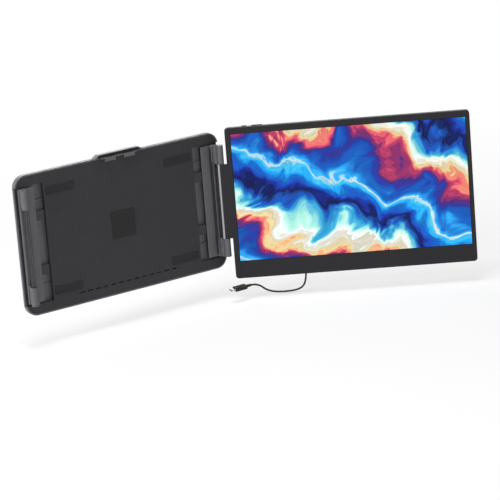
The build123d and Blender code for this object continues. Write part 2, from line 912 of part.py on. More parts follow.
def strain_relief(start, length):
    """Ribbed sleeve where the cord leaves a plug."""
    core = Pos(0, 0, start + length / 2) * Cone(
        2.5, 1.95, length)
    cuts = None
    for i in range(3):
        z = start + 2.0 + i * 2.2
        ring = Pos(0, 0, z) * (Cylinder(3.2, 0.8)
                               - Cylinder(1.85, 0.9))
        cuts = ring if cuts is None else cuts + ring
    return core - cuts


def plug_shell():
    """Metal end of a plug, pointing down -Z from 0."""
    outer = extrude(RectangleRounded(shell_width, shell_height,
                                     shell_height / 2 - 0.02),
                    -shell_length)
    hollow = extrude(RectangleRounded(shell_width - 0.6,
                                      shell_height - 0.6,
                                      shell_height / 2 - 0.32),
                     -shell_length - 1)
    keep = extrude(Rectangle(20, 20), -1.2)
    return outer - (hollow - keep)


def laptop_plug_plane():
    """Plug's frame at the laptop's side: +Z leaves to the right."""
    return Plane(origin=(plug_start, port_y, port_z),
                 x_dir=(0, cos(radians(lid_lean)),
                        sin(radians(lid_lean))),
                 z_dir=(1, 0, 0))


def monitor_port_plane():
    """Plug's frame in the monitor's bay: +Z leaves downwards."""
    origin = placed(Pos(gap_u + bay_x, deep(plug_centre),
                        monitor_bottom + bay_height - 0.4)
                    * Sphere(0.1)).center()
    a = radians(-screen_angle)
    return Plane(origin=origin, x_dir=(cos(a), sin(a), 0),
                 z_dir=(0, 0, -1))


def cord_route():
    """Corners of the cord's path from the laptop to the monitor."""
    start = (plug_start + plug_length + relief_length - 1.0,
             port_y, port_z)
    end_plane = monitor_port_plane()
    end = (end_plane.origin.X, end_plane.origin.Y,
           end_plane.origin.Z - bay_plug_length - bay_relief_length
           + 1.0)
    return [start,
            (start[0] + 13.0, port_y, port_z),
            (213.0, -40.5, -143.8),
            (234.5, -56.0, -146.0),
            (end[0] - 5.0, end[1] + 3.5, -142.0),
            (end[0], end[1], -126.0),
            end]


def cord():
    """The cord as straight runs and tangent bends."""
    points = [Vector(*p) for p in cord_route()]
    radii = []
    for a, b, c in zip(points, points[1:], points[2:]):
        turn = radians((b - a).get_angle(c - b))
        run = min((b - a).length, (c - b).length)
        radii.append(0.45 * run / tan(turn / 2))
        print("bend", round(radii[-1], 1), "turn",
              round(turn * 57.2958, 1), "run", round(run, 1))
    path = FilletPolyline(*points, radius=radii)
    section = Plane(origin=points[0],
                    z_dir=points[1] - points[0]) * Circle(
                        cord_diameter / 2)
    tube = sweep(section, path)
    area = 3.14159265 * cord_diameter ** 2 / 4
    print("cord volume", round(tube.volume, 2), "expected",
          round(area * path.length, 2), "length",
          round(path.length, 1))
    return tube


def end_plug(plane, length, relief):
    """Overmould and sleeve of one plug, placed on its plane."""
    body = plug_solid(plug_width, plug_height, length)
    body += strain_relief(length - 0.5, relief + 0.5)
    hole = Pos(0, 0, length + relief / 2 + 1) * Cylinder(
        cord_diameter / 2, relief + 2)
    return plane.location * (body - hole)


# ---------------------------------------------------------------- build
def build_frame():
    save(frame_rear_shell(), "frame_rear_shell")
    save(frame_front_panel(), "frame_front_panel")
    pads = [rubber_pad(*p) for p in pad_places()]
    save(pads[:4], "corner_pads")
    save(pads[4], "seat_pad")
    save(clamp_guides(), "clamp_guides")
    save(friction_leaves(), "friction_leaves")
    save(clip_guide(), "clip_guide")
    save(spring_posts(), "spring_posts")
    save([countersunk(1.2, 2.6, 5.8, frame_back, x, z)
          for x, z in screw_places()], "frame_screws")
    save(kickstand_pin(), "kickstand_pin")


def build_clamps():
    for side, name in ((1, "right"), (-1, "left")):
        save(mirrored(clamp_slide(), side), f"{name}_clamp_slide")
        save(mirrored(clamp_rail(), side), f"{name}_clamp_rail")
        save(mirrored(rail_pad(), side), f"{name}_rail_pad")
        save(mirrored(hinge_pin(), side), f"{name}_hinge_pin")
        save([mirrored(s, side) for s in slide_screws()],
             f"{name}_slide_screws")
        save([mirrored(s, side) for s in washers()],
             f"{name}_hinge_washers")


def build_clip():
    save(clip_hook(), "clip_hook")
    save(clip_stem(), "clip_stem")
    save(clip_grip(), "clip_grip")
    save(clip_pad(), "clip_pad")
    save(clip_springs(), "clip_springs")


def build_kickstand():
    save(kickstand_plate(), "kickstand_plate")
    save(kickstand_foot(), "kickstand_foot_pad")


def build_monitor():
    save(placed(monitor_bezel()), "monitor_bezel")
    save(placed(display_glass()), "display_glass")
    save(placed(display_cell()), "display_cell")
    save(placed(backlight()), "backlight_tray")
    save(placed(driver_board()), "driver_board")
    save(placed(port_board()), "port_board")
    save(placed(back_cover()), "monitor_back_cover")
    places = socket_places()
    save([placed(socket(*places[0])), placed(socket(*places[1]))],
         "usb_c_sockets")
    save(placed(socket(*places[2])), "mini_video_socket")
    save(placed(bay_socket()), "cord_socket")
    save([placed(speaker(-1)), placed(speaker(1))], "speakers")
    save([placed(s) for s in back_screws()], "back_cover_screws")
    save(placed(top_button(power_u, button_width)), "power_button")
    save(placed(menu_rocker()), "menu_button")


def build_cord():
    laptop = laptop_plug_plane()
    monitor = monitor_port_plane()
    save(end_plug(laptop, plug_length, relief_length),
         "laptop_plug_grip")
    save(laptop.location * plug_shell(), "laptop_plug_shell")
    save(end_plug(monitor, bay_plug_length, bay_relief_length),
         "monitor_plug_grip")
    save(monitor.location * plug_shell(), "monitor_plug_shell")
    save(cord(), "cord")


build_frame()
build_clamps()
build_clip()
build_kickstand()
build_monitor()
build_cord()
for name, shape in made:
    box = shape.bounding_box()
    print(f"{name:22s} solids {len(shape.solids())}"
          f" vol {shape.volume:10.1f}"
          f" x {box.min.X:7.1f} {box.max.X:7.1f}"
          f" y {box.min.Y:7.1f} {box.max.Y:7.1f}"
          f" z {box.min.Z:7.1f} {box.max.Z:7.1f}")
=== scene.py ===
"""A clip-on screen extender for a laptop, dressed in its real finishes.

A thin moulded frame seats on the back of a lid, a sprung clip and two
sliding clamps hold it, and a second monitor hangs on the right clamp's
hinge with a short cord to the laptop.  Everything is in metres, in the
row frame: +X to the user's right, +Y away from the user, +Z up the lid.
"""

import json
import logging
import math
from dataclasses import dataclass
from enum import Enum
from typing import Sequence

import bmesh
import bpy
from mathutils import Matrix, Quaternion, Vector


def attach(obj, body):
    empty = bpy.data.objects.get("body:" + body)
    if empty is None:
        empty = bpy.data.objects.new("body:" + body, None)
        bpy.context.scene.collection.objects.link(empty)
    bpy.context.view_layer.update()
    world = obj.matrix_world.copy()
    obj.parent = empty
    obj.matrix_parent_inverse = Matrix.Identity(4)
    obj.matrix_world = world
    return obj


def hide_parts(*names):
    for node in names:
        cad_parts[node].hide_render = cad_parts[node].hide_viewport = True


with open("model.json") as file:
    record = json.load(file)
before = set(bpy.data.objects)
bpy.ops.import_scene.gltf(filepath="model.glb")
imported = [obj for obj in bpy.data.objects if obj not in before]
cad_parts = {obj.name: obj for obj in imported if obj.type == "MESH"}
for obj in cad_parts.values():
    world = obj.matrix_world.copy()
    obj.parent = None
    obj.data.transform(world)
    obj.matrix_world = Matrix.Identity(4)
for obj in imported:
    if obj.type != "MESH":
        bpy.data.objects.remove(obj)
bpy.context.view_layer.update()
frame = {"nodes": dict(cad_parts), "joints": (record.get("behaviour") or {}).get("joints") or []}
LOG = logging.getLogger("screen_extender")

Socket = bpy.types.NodeSocket
Outputs = bpy.types.bpy_prop_collection
Point = tuple[float, float, float]
Colour = tuple[float, float, float, float]

FLOAT, VECTOR = "NodeSocketFloat", "NodeSocketVector"
WHITE = (1.0, 1.0, 1.0, 1.0)
# The first tone is painted shade for slots and corners.
PAINTED_SHADE_TONE, DUST_TONE, LINT_TONE = "0c0c0d", "9c9a97", "8d8b88"


def joint_place(name: str) -> Point:
    """Find a point on a joint's axis, in metres."""
    return next(tuple(joint["pos_m"]) for joint in frame["joints"] if joint["name"] == name)


HINGE = joint_place("monitor_hinge")[:2]
LEG_PIN = joint_place("kickstand_hinge")[1:]
MONITOR_TURN = math.radians(-34.1)


def tint(code: str) -> Colour:
    """Turn a six-digit colour code into linear light.

    Args:
        code: Red, green and blue as two hexadecimal digits each.

    Returns:
        Linear red, green, blue and an alpha of one.
    """
    parts = [int(code[i:i + 2], 16) / 255 for i in (0, 2, 4)]
    linear = [p / 12.92 if p <= 0.04045 else ((p + 0.055) / 1.055) ** 2.4 for p in parts]
    return (linear[0], linear[1], linear[2], 1.0)


def shade(code: str, factor: float, lift: float = 0.0) -> Colour:
    """Give a darker or paler tone of a colour, no brighter than white."""
    return (*(min(1.0, c * factor + lift) for c in tint(code)[:3]), 1.0)


def put(name: str, data: bpy.types.ID) -> bpy.types.Object:
    """Show some data as a new object of the scene.

    Args:
        name: The object's name.
        data: Its mesh, curve, lamp or camera.

    Returns:
        The object.
    """
    made = bpy.data.objects.new(name, data)
    bpy.context.scene.collection.objects.link(made)
    return made


class Graph:
    """A node tree that is written one node at a time."""

    def __init__(self, tree: bpy.types.NodeTree) -> None:
        """Keep the tree and empty it."""
        self.tree = tree
        tree.nodes.clear()

    def feed(self, node: bpy.types.Node, inputs: dict) -> None:
        """Link a node's inputs to other nodes, or set their plain values.

        Args:
            node: The node to feed.
            inputs: Sockets, numbers, colours or vectors by input name or number.
        """
        for key, value in inputs.items():
            if isinstance(value, bpy.types.NodeSocket):
                self.tree.links.new(value, node.inputs[key])
            else:
                node.inputs[key].default_value = value

    def add(self, kind: str, inputs: dict | None = None, **settings: object) -> bpy.types.Node:
        """Add a node.

        Args:
            kind: The node's type name.
            inputs: What its inputs are fed with.
            **settings: Properties of the node.

        Returns:
            The new node.
        """
        node = self.tree.nodes.new(kind)
        for name, value in settings.items():
            setattr(node, name, value)
        self.feed(node, inputs or {})
        return node

    def give(self, **outputs: Socket) -> None:
        """Put out the results of a group."""
        self.add("NodeGroupOutput", outputs)

    def math(self, operation: str, a: object, b: object = 0.0, c: object = 0.0,
             clamp: bool = False) -> Socket:
        """Work out one value from up to three others."""
        return self.add("ShaderNodeMath", {0: a, 1: b, 2: c}, operation=operation,
                        use_clamp=clamp).outputs[0]

    def vector(self, operation: str, *inputs: object) -> bpy.types.Node:
        """Work out a vector, or a value of it, from others."""
        return self.add("ShaderNodeVectorMath", dict(enumerate(inputs)), operation=operation)

    def split(self, vector: Socket) -> Outputs:
        """Give a vector's X, Y and Z."""
        return self.add("ShaderNodeSeparateXYZ", {0: vector}).outputs

    def step(self, value: object, low: float, high: float) -> Socket:
        """Rise smoothly from 0 to 1 between two values."""
        return self.add("ShaderNodeMapRange", {"Value": value, "From Min": low, "From Max": high},
                        interpolation_type="SMOOTHSTEP").outputs["Result"]

    def mix(self, factor: object, a: object, b: object, blend: str = "MIX") -> Socket:
        """Blend two colours."""
        return self.add("ShaderNodeMix", {0: factor, 6: a, 7: b}, data_type="RGBA",
                        blend_type=blend).outputs[2]

    def noise(self, place: object, scale: object, detail: float = 2.0, rough: float = 0.5,
              gives: str = "Fac") -> Socket:
        """Soft noise as a value from 0 to 1, or as a colour."""
        return self.add("ShaderNodeTexNoise", {"Vector": place, "Scale": scale, "Detail": detail,
                                               "Roughness": rough}).outputs[gives]

    def spots(self, place: object, scale: object) -> Socket:
        """Distance from the nearest of many scattered points."""
        return self.add("ShaderNodeTexVoronoi",
                        {"Vector": place, "Scale": scale}).outputs["Distance"]

    def stretch(self, place: object, size: Point, turn: float = 0.0,
                origin: Point = (0.0, 0.0, 0.0)) -> Socket:
        """Centre, turn and scale a pattern on a piece.

        Args:
            place: The coordinates to change.
            size: What one unit of the pattern measures along each axis.
            turn: Turn of the pattern about the upright axis, in radians.
            origin: The point where the pattern starts.

        Returns:
            The new coordinates.
        """
        inputs = {"Vector": place, "Location": origin, "Rotation": (0.0, 0.0, turn), "Scale": size}
        return self.add("ShaderNodeMapping", inputs, vector_type="TEXTURE").outputs["Vector"]

    def relief(self, height: Socket, depth: float, strength: float,
               normal: Socket | None = None) -> Socket:
        """Turn a height into a bumped normal.

        Args:
            height: The height, from 0 to 1.
            depth: What a height of 1 measures, in metres.
            strength: How much of it shows.
            normal: The normal to start from, if not the true one.

        Returns:
            The bumped normal.
        """
        start = {} if normal is None else {"Normal": normal}
        return self.add("ShaderNodeBump", {"Strength": strength, "Distance": depth,
                                           "Height": height, **start}).outputs["Normal"]


class Effect(Enum):
    """Surface effects that more than one finish uses."""

    GRAIN = "moulded grain"
    # Edge wear, partly a painted highlight along edges.
    WEAR = "edge wear"
    DUST = "settled dust"
    MARKS = "handling marks"
    LINES = "brushed lines"
    SCRATCH = "hairline scratches"
    # Painted shade in slots and inside corners.
    GRIME = "corner grime"


class EffectShelf:
    """Builds each shared effect once, when it is first asked for."""

    def __init__(self) -> None:
        """Start with an empty shelf."""
        self.made: dict[Effect, bpy.types.NodeTree] = {}

    def take(self, effect: Effect) -> bpy.types.NodeTree:
        """Give an effect's group, and build it first if it is new.

        Args:
            effect: Which effect.

        Returns:
            The node group.
        """
        if effect not in self.made:
            getattr(self, "build_" + effect.name.lower())()
        return self.made[effect]

    def start(self, effect: Effect, takes: dict[str, float],
              gives: dict[str, str]) -> tuple[Graph, Outputs]:
        """Open a new group that takes a place and some values.

        Args:
            effect: Which effect the group is.
            takes: Default of each value by name.
            gives: Socket type of each output by name.

        Returns:
            The group's graph, and what its inputs bring.
        """
        tree = bpy.data.node_groups.new(effect.value, "ShaderNodeTree")
        sockets = tree.interface
        sockets.new_socket(name="Place", in_out="INPUT", socket_type=VECTOR)
        for name, value in takes.items():
            made = sockets.new_socket(name=name, in_out="INPUT", socket_type=FLOAT)
            made.default_value = value
        for name, kind in gives.items():
            sockets.new_socket(name=name, in_out="OUTPUT", socket_type=kind)
        self.made[effect] = tree
        graph = Graph(tree)
        return graph, graph.add("NodeGroupInput").outputs

    def build_grain(self) -> None:
        """Spark-eroded mould texture: fine pits over a soft mottle."""
        graph, take = self.start(Effect.GRAIN, {"Grains": 1600.0},
                                 {"Height": FLOAT, "Mottle": FLOAT})
        place, grains = take["Place"], take["Grains"]
        fine = graph.noise(place, scale=grains, detail=3.0, rough=0.6)
        slow = graph.noise(place, scale=55.0, detail=4.0, rough=0.62)
        patch = graph.noise(place, scale=9.0)
        graph.give(Height=graph.math("MULTIPLY_ADD", graph.spots(place, grains), 0.5, fine),
                   Mottle=graph.math("ADD", graph.math("MULTIPLY", slow, 0.55),
                                     graph.math("MULTIPLY", patch, 0.45)))

    def build_wear(self) -> None:
        """Rubbed edges, partly a painted highlight: where the rounded surface leaves the true one.
        """
        graph, take = self.start(Effect.WEAR, {"Radius": 0.0004, "Amount": 0.5},
                                 {"Mask": FLOAT, "Normal": VECTOR})
        soft = graph.add("ShaderNodeBevel", {"Radius": take["Radius"]}, samples=6).outputs[0]
        true = graph.add("ShaderNodeNewGeometry").outputs["Normal"]
        meet = graph.vector("DOT_PRODUCT", soft, true).outputs["Value"]
        edge = graph.step(graph.math("SUBTRACT", 1.0, meet), low=0.004, high=0.16)
        broken = graph.step(graph.noise(take["Place"], scale=420.0, detail=4.0, rough=0.65),
                            low=0.36, high=0.66)
        graph.give(Normal=soft, Mask=graph.math("MULTIPLY", graph.math("MULTIPLY", edge, broken),
                                                take["Amount"], clamp=True))

    def build_dust(self) -> None:
        """Dust that settles on what faces up, in uneven specks."""
        graph, take = self.start(Effect.DUST, {"Amount": 0.2}, {"Mask": FLOAT})
        place = take["Place"]
        normal = graph.add("ShaderNodeNewGeometry").outputs["Normal"]
        lies = graph.step(graph.split(normal)["Z"], low=0.15, high=0.95)
        specks = graph.step(graph.spots(place, 900.0), low=0.16, high=0.02)
        drift = graph.step(graph.noise(place, scale=80.0, detail=5.0, rough=0.7),
                           low=0.42, high=0.78)
        both = graph.math("ADD", graph.math("MULTIPLY", lies, drift),
                          graph.math("MULTIPLY", specks, 0.22))
        graph.give(Mask=graph.math("MULTIPLY", both, take["Amount"], clamp=True))

    def build_grime(self) -> None:
        """Painted shade: a patchy dark film in slots and inside corners."""
        graph, take = self.start(Effect.GRIME, {"Reach": 0.003, "Amount": 0.5}, {"Mask": FLOAT})
        open_share = graph.add("ShaderNodeAmbientOcclusion", {"Distance": take["Reach"]},
                               samples=6).outputs["AO"]
        shut = graph.step(open_share, low=0.92, high=0.25)
        patchy = graph.math("MULTIPLY_ADD", graph.noise(
            take["Place"], scale=160.0, detail=4.0, rough=0.6), 0.5, 0.72)
        graph.give(Mask=graph.math("MULTIPLY", graph.math("MULTIPLY", shut, patchy),
                                   take["Amount"], clamp=True))

    def build_marks(self) -> None:
        """Faint smears where hands have been, for the roughness."""
        graph, take = self.start(Effect.MARKS, {"Base": 0.5, "Swing": 0.1}, {"Roughness": FLOAT})
        place = take["Place"]
        smear = graph.noise(graph.stretch(place, (0.05, 0.03, 0.018), turn=0.4),
                            scale=1.0, detail=5.0, rough=0.6)
        fine = graph.noise(place, scale=240.0, detail=3.0)
        both = graph.math("MULTIPLY_ADD", fine, 0.4, smear)
        graph.give(Roughness=graph.math("MULTIPLY_ADD", graph.math("SUBTRACT", both, 0.7),
                                        take["Swing"], take["Base"], clamp=True))

    def build_lines(self) -> None:
        """The long fine lines of brushed or drawn metal."""
        graph, take = self.start(Effect.LINES, {}, {"Height": FLOAT, "Tone": FLOAT})
        fine = graph.noise(take["Place"], scale=1.0, detail=4.0, rough=0.7)
        wide = graph.noise(graph.stretch(take["Place"], (4.0, 4.0, 4.0)), scale=1.0)
        graph.give(Height=fine, Tone=graph.math("MULTIPLY_ADD", wide, 0.5,
                                                graph.math("MULTIPLY", fine, 0.5)))

    def build_scratch(self) -> None:
        """A few hairlines at three slants."""
        graph, take = self.start(Effect.SCRATCH, {"Amount": 0.2}, {"Mask": FLOAT})
        slants = ((0.5, (0.034, 0.0007, 0.0016)), (-0.9, (0.0011, 0.026, 0.0008)),
                  (1.3, (0.0008, 0.0014, 0.021)))
        first, second, third = (
            graph.step(graph.noise(graph.stretch(take["Place"], size, turn), scale=1.0,
                                   detail=1.0), low=0.735, high=0.79)
            for turn, size in slants)
        found = graph.math("MAXIMUM", graph.math("MAXIMUM", first, second), third)
        graph.give(Mask=graph.math("MULTIPLY", found, take["Amount"]))


SHELF = EffectShelf()
MADE: dict[str, bpy.types.Material] = {}


class Surface(Graph):
    """A material in the making: its graph, shader and coordinates."""

    def __init__(self, name: str) -> None:
        """Open a new material.

        Args:
            name: The material's name.
        """
        self.material = bpy.data.materials.new(name)
        self.material.use_nodes = True
        super().__init__(self.material.node_tree)
        self.shader = self.add("ShaderNodeBsdfPrincipled")
        self.add("ShaderNodeOutputMaterial", {"Surface": self.shader.outputs["BSDF"]})
        self.place = self.add("ShaderNodeTexCoord").outputs["Object"]

    def coat(self, inputs: dict) -> None:
        """Feed the shader's inputs."""
        self.feed(self.shader, inputs)

    def effect(self, effect: Effect, **values: object) -> Outputs:
        """Put a shared effect on the surface, at its own coordinates unless Place is given."""
        return self.add("ShaderNodeGroup", {"Place": self.place, **values},
                        node_tree=SHELF.take(effect)).outputs

    def film(self, colour: Socket, effect: Effect, amount: float, tone: str) -> Socket:
        """Lay another tone over a colour where an effect's mask shows."""
        return self.mix(self.effect(effect, Amount=amount)["Mask"], colour, tint(tone))

    def handled(self, roughness: float, swing: float) -> Socket:
        """Let a roughness swing with the smears of hands."""
        return self.effect(Effect.MARKS, Base=roughness, Swing=swing)["Roughness"]

    def monitor_axes(self, origin: Point, unit: float = 1.0) -> Outputs:
        """Give X, Y and Z from a point, along the turned monitor's own directions."""
        return self.split(self.stretch(self.place, (unit,) * 3, MONITOR_TURN, origin))


@dataclass(frozen=True)
class Finish:
    """A finish that a piece of the extender can have."""

    name: str
    colour: str
    roughness: float = 0.5

    def build(self) -> bpy.types.Material:
        """Make the material, or give the one that was made before.

        Returns:
            The finish's material.
        """
        if self.name not in MADE:
            surface = Surface(self.name)
            MADE[self.name] = surface.material
            self.paint(surface)
        return MADE[self.name]

    def paint(self, surface: Surface) -> None:
        """Lay the finish on a surface; each kind of finish has its own."""
        raise NotImplementedError


@dataclass(frozen=True)
class MouldedPlastic(Finish):
    """Injection-moulded plastic with a spark-eroded face."""

    # Colour of rubbed edges and scratches; on edges it is partly a painted highlight.
    rubbed_and_highlit: str = "8a8a8e"
    grains: float = 1500.0
    depth: float = 0.00004
    contrast: float = 0.16
    wear: float = 0.5
    edge: float = 0.00035
    edge_gloss: float = 0.18
    dust: float = 0.14
    # Strength of the painted shade in slots and corners.
    grime: float = 0.6
    scratch: float = 0.12
    sheen: float = 0.42
    handling: float = 0.22

    def paint(self, surface: Surface) -> None:
        """Mottled colour, painted corner shade, rubbed edges partly painted as highlight, light
        dust and mould grain.

        Args:
            surface: The surface to paint.
        """
        grain = surface.effect(Effect.GRAIN, Grains=self.grains)
        worn_and_highlit = surface.effect(Effect.WEAR, Radius=self.edge, Amount=self.wear)
        marks = surface.handled(self.roughness, self.handling)
        colour = surface.mix(grain["Mottle"], shade(self.colour, 1 - self.contrast),
                             shade(self.colour, 1 + self.contrast))
        colour = self.vary(surface, colour)
        # Painted shade in slots and inside corners.
        colour = surface.film(colour, Effect.GRIME, self.grime, PAINTED_SHADE_TONE)
        colour = surface.film(colour, Effect.SCRATCH, self.scratch, self.rubbed_and_highlit)
        # Rubbed edges, partly a painted highlight.
        colour = surface.mix(worn_and_highlit["Mask"], colour, tint(self.rubbed_and_highlit))
        surface.coat({
            "Base Color": surface.film(colour, Effect.DUST, self.dust, DUST_TONE),
            "Roughness": surface.math("MULTIPLY_ADD", worn_and_highlit["Mask"], -self.edge_gloss, marks,
                                      clamp=True),
            "Specular IOR Level": self.sheen,
            "Normal": surface.relief(grain["Height"], self.depth, strength=0.5,
                                     normal=worn_and_highlit["Normal"])})

    def vary(self, surface: Surface, colour: Socket) -> Socket:
        """Give the moulding's colour; a kind with a second tone adds it."""
        return colour


@dataclass(frozen=True)
class HighlitBarrel(MouldedPlastic):
    """The bezel's moulding, with a painted highlight along its hinge barrel."""

    # Colour of the painted highlight on the barrel.
    barrel_highlight: str = "a3a2a8"
    radius: float = 0.0051
    rim: float = 0.00006
    highlight_from: float = -0.0014
    highlight_to: float = -0.0034

    def vary(self, surface: Surface, colour: Socket) -> Socket:
        """Paint a highlight on the outer side of the barrel.

        Args:
            surface: The surface being painted.
            colour: The moulding's own colour.

        Returns:
            The colour with the painted highlight.
        """
        local = surface.monitor_axes((*HINGE, 0.0))
        across = surface.math("MULTIPLY", local["Y"], local["Y"])
        off = surface.math("SQRT", surface.math("MULTIPLY_ADD", local["X"], local["X"], across))
        barrel = surface.step(off, low=self.radius + self.rim, high=self.radius)
        # Painted highlight on the outer side of the barrel only.
        outer = surface.step(local["X"], low=self.highlight_from, high=self.highlight_to)
        return surface.mix(surface.math("MULTIPLY", barrel, outer), colour, tint(self.barrel_highlight))


@dataclass(frozen=True)
class SoftRubber(Finish):
    """Silicone rubber with a fine dimple pattern and lint on it."""

    dimples: float = 620.0
    depth: float = 0.00012
    lint: float = 0.3

    def paint(self, surface: Surface) -> None:
        """Dimples, chalky bloom and lint.

        Args:
            surface: The surface to paint.
        """
        grain = surface.effect(Effect.GRAIN, Grains=1900.0)
        dimple = surface.step(surface.spots(surface.place, self.dimples), low=0.1, high=0.42)
        height = surface.math("MULTIPLY_ADD", grain["Height"], 0.25, dimple)
        colour = surface.mix(grain["Mottle"], tint(self.colour),
                             shade(self.colour, 1.35, lift=0.004))
        surface.coat({
            "Base Color": surface.film(colour, Effect.DUST, self.lint, LINT_TONE),
            "Roughness": surface.handled(self.roughness, swing=0.15),
            "Specular IOR Level": 0.3,
            "Normal": surface.relief(height, self.depth, strength=0.6)})


@dataclass(frozen=True)
class DrawnMetal(Finish):
    """Steel that was drawn, ground or brushed one way."""

    along: Point = (0.03, 0.0004, 0.0004)
    turn: float = 0.0
    metallic: float = 1.0
    wear: float = 0.4
    worn_and_highlit: str = "d8d6d2"
    edge: float = 0.0002
    depth: float = 0.00002

    def paint(self, surface: Surface) -> None:
        """Brushed lines, bright edges and handling marks.

        Args:
            surface: The surface to paint.
        """
        lines = surface.effect(Effect.LINES,
                               Place=surface.stretch(surface.place, self.along, self.turn))
        worn_and_highlit = surface.effect(Effect.WEAR, Radius=self.edge, Amount=self.wear)
        colour = surface.mix(lines["Tone"], shade(self.colour, 0.78), shade(self.colour, 1.16))
        surface.coat({
            "Base Color": surface.mix(worn_and_highlit["Mask"], colour, tint(self.worn_and_highlit)),
            "Roughness": surface.handled(self.roughness, swing=0.3),
            "Metallic": self.metallic,
            "Normal": surface.relief(lines["Height"], self.depth, strength=0.4,
                                     normal=worn_and_highlit["Normal"])})


@dataclass(frozen=True)
class CircuitBoard(Finish):
    """Solder mask over copper traces, with gold vias."""

    gold: str = "c9a860"
    shadow: str = "101010"
    trace: Point = (0.004, 0.004, 0.0012)
    slant: float = 0.595

    def paint(self, surface: Surface) -> None:
        """Traces from a brick pattern, gold vias and a satin mask.

        Args:
            surface: The surface to paint.
        """
        traces = surface.add("ShaderNodeTexBrick", {
            "Vector": surface.stretch(surface.place, self.trace, self.slant),
            "Scale": 1.0, "Mortar Size": 0.16}).outputs["Fac"]
        vias = surface.step(surface.spots(surface.place, 420.0), low=0.18, high=0.1)
        mottle = surface.effect(Effect.GRAIN, Grains=2400.0)["Mottle"]
        colour = surface.mix(surface.math("MULTIPLY", traces, 0.7), tint(self.colour),
                             shade(self.colour, 1.7))
        colour = surface.mix(surface.math("MULTIPLY", mottle, 0.2), colour, tint(self.shadow))
        surface.coat({
            "Base Color": surface.mix(vias, colour, tint(self.gold)),
            "Metallic": surface.math("MULTIPLY", vias, 0.9),
            "Roughness": surface.math("MULTIPLY_ADD", mottle, 0.2, self.roughness),
            "Normal": surface.relief(traces, depth=0.00003, strength=0.5)})


@dataclass(frozen=True)
class Fold:
    """One push of soft noise that folds the picture's bands."""

    scale: float
    reach: float
    seed: float
    detail: float = 1.5


@dataclass(frozen=True)
class LitPicture(Finish):
    """A lit display that shows a design of folded paint in broad bands."""

    origin: Point = (0.0, 0.0, 0.0)
    high: float = 0.19
    strength: float = 1.0
    bands: tuple[tuple[float, str], ...] = ()
    folds: tuple[Fold, ...] = (Fold(1.25, 1.15, seed=4.7), Fold(3.4, 0.46, seed=1.9),
                               Fold(10.0, 0.2, seed=7.3, detail=4.0))
    slope: tuple[float, float] = (0.46, 0.82)
    bristle: Point = (0.02, 0.55, 1.0)
    stray: float = 0.085
    laps: float = 1.3
    first_lap: float = 0.22
    ridges: float = 58.0
    ridge_light: float = 0.16
    bristle_light: float = 0.9

    def fold(self, surface: Surface, place: Socket, by: Fold) -> Socket:
        """Push the coordinates about with soft noise.

        Args:
            surface: The surface being painted.
            place: The coordinates to push.
            by: How small and how far the pushes are.

        Returns:
            The pushed coordinates.
        """
        moved = surface.vector("ADD", place, (by.seed, 3.1 * by.seed, 0.0)).outputs[0]
        cloud = surface.noise(moved, by.scale, by.detail, gives="Color")
        push = surface.vector("SUBTRACT", cloud, (0.5, 0.5, 0.5)).outputs[0]
        return surface.vector("MULTIPLY_ADD", push, (by.reach,) * 3, place).outputs[0]

    def colour_bands(self, surface: Surface, at: Socket) -> Socket:
        """Turn a value from 0 to 1 into the bands' colours.

        Args:
            surface: The surface being painted.
            at: The value.

        Returns:
            The colour.
        """
        ramp = surface.add("ShaderNodeValToRGB", {"Fac": at})
        stops = ramp.color_ramp.elements
        while len(stops) > 1:
            stops.remove(stops[-1])
        (stops[0].position, first), *others = self.bands
        stops[0].color = tint(first)
        for position, code in others:
            stops.new(position).color = tint(code)
        return ramp.outputs["Color"]

    def paint(self, surface: Surface) -> None:
        """Fold bands of colour over each other, with bristle marks.

        Args:
            surface: The surface to paint.
        """
        flat = surface.monitor_axes(self.origin, self.high)
        place = surface.add("ShaderNodeCombineXYZ", {0: flat["X"], 2: flat["Z"]}).outputs[0]
        for by in self.folds:
            place = self.fold(surface, place, by)
        where = surface.split(place)
        slant = surface.math("MULTIPLY_ADD", where["X"], self.slope[0],
                             surface.math("MULTIPLY", where["Z"], self.slope[1]))
        streaks = surface.add("ShaderNodeCombineXYZ", {0: slant, 1: where["X"]}).outputs[0]
        bristle = surface.math("SUBTRACT", surface.noise(
            surface.stretch(streaks, self.bristle), scale=1.0, detail=3.0, rough=0.65), 0.5)
        run = surface.math("MULTIPLY_ADD", bristle, self.stray, slant)
        lap = surface.math("FRACT", surface.math("MULTIPLY_ADD", run, self.laps, self.first_lap))
        ridge = surface.math("SINE", surface.math("MULTIPLY", run, self.ridges))
        light = surface.math("MULTIPLY_ADD", bristle, self.bristle_light,
                             surface.math("MULTIPLY_ADD", ridge, self.ridge_light, 1.0))
        grey = surface.add("ShaderNodeCombineColor", {0: light, 1: light, 2: light}).outputs[0]
        surface.coat({
            "Base Color": tint(self.colour),
            "Emission Color": surface.mix(1.0, self.colour_bands(surface, lap), grey, "MULTIPLY"),
            "Emission Strength": self.strength,
            "Roughness": surface.handled(self.roughness, swing=0.1),
            "Specular IOR Level": 0.1})


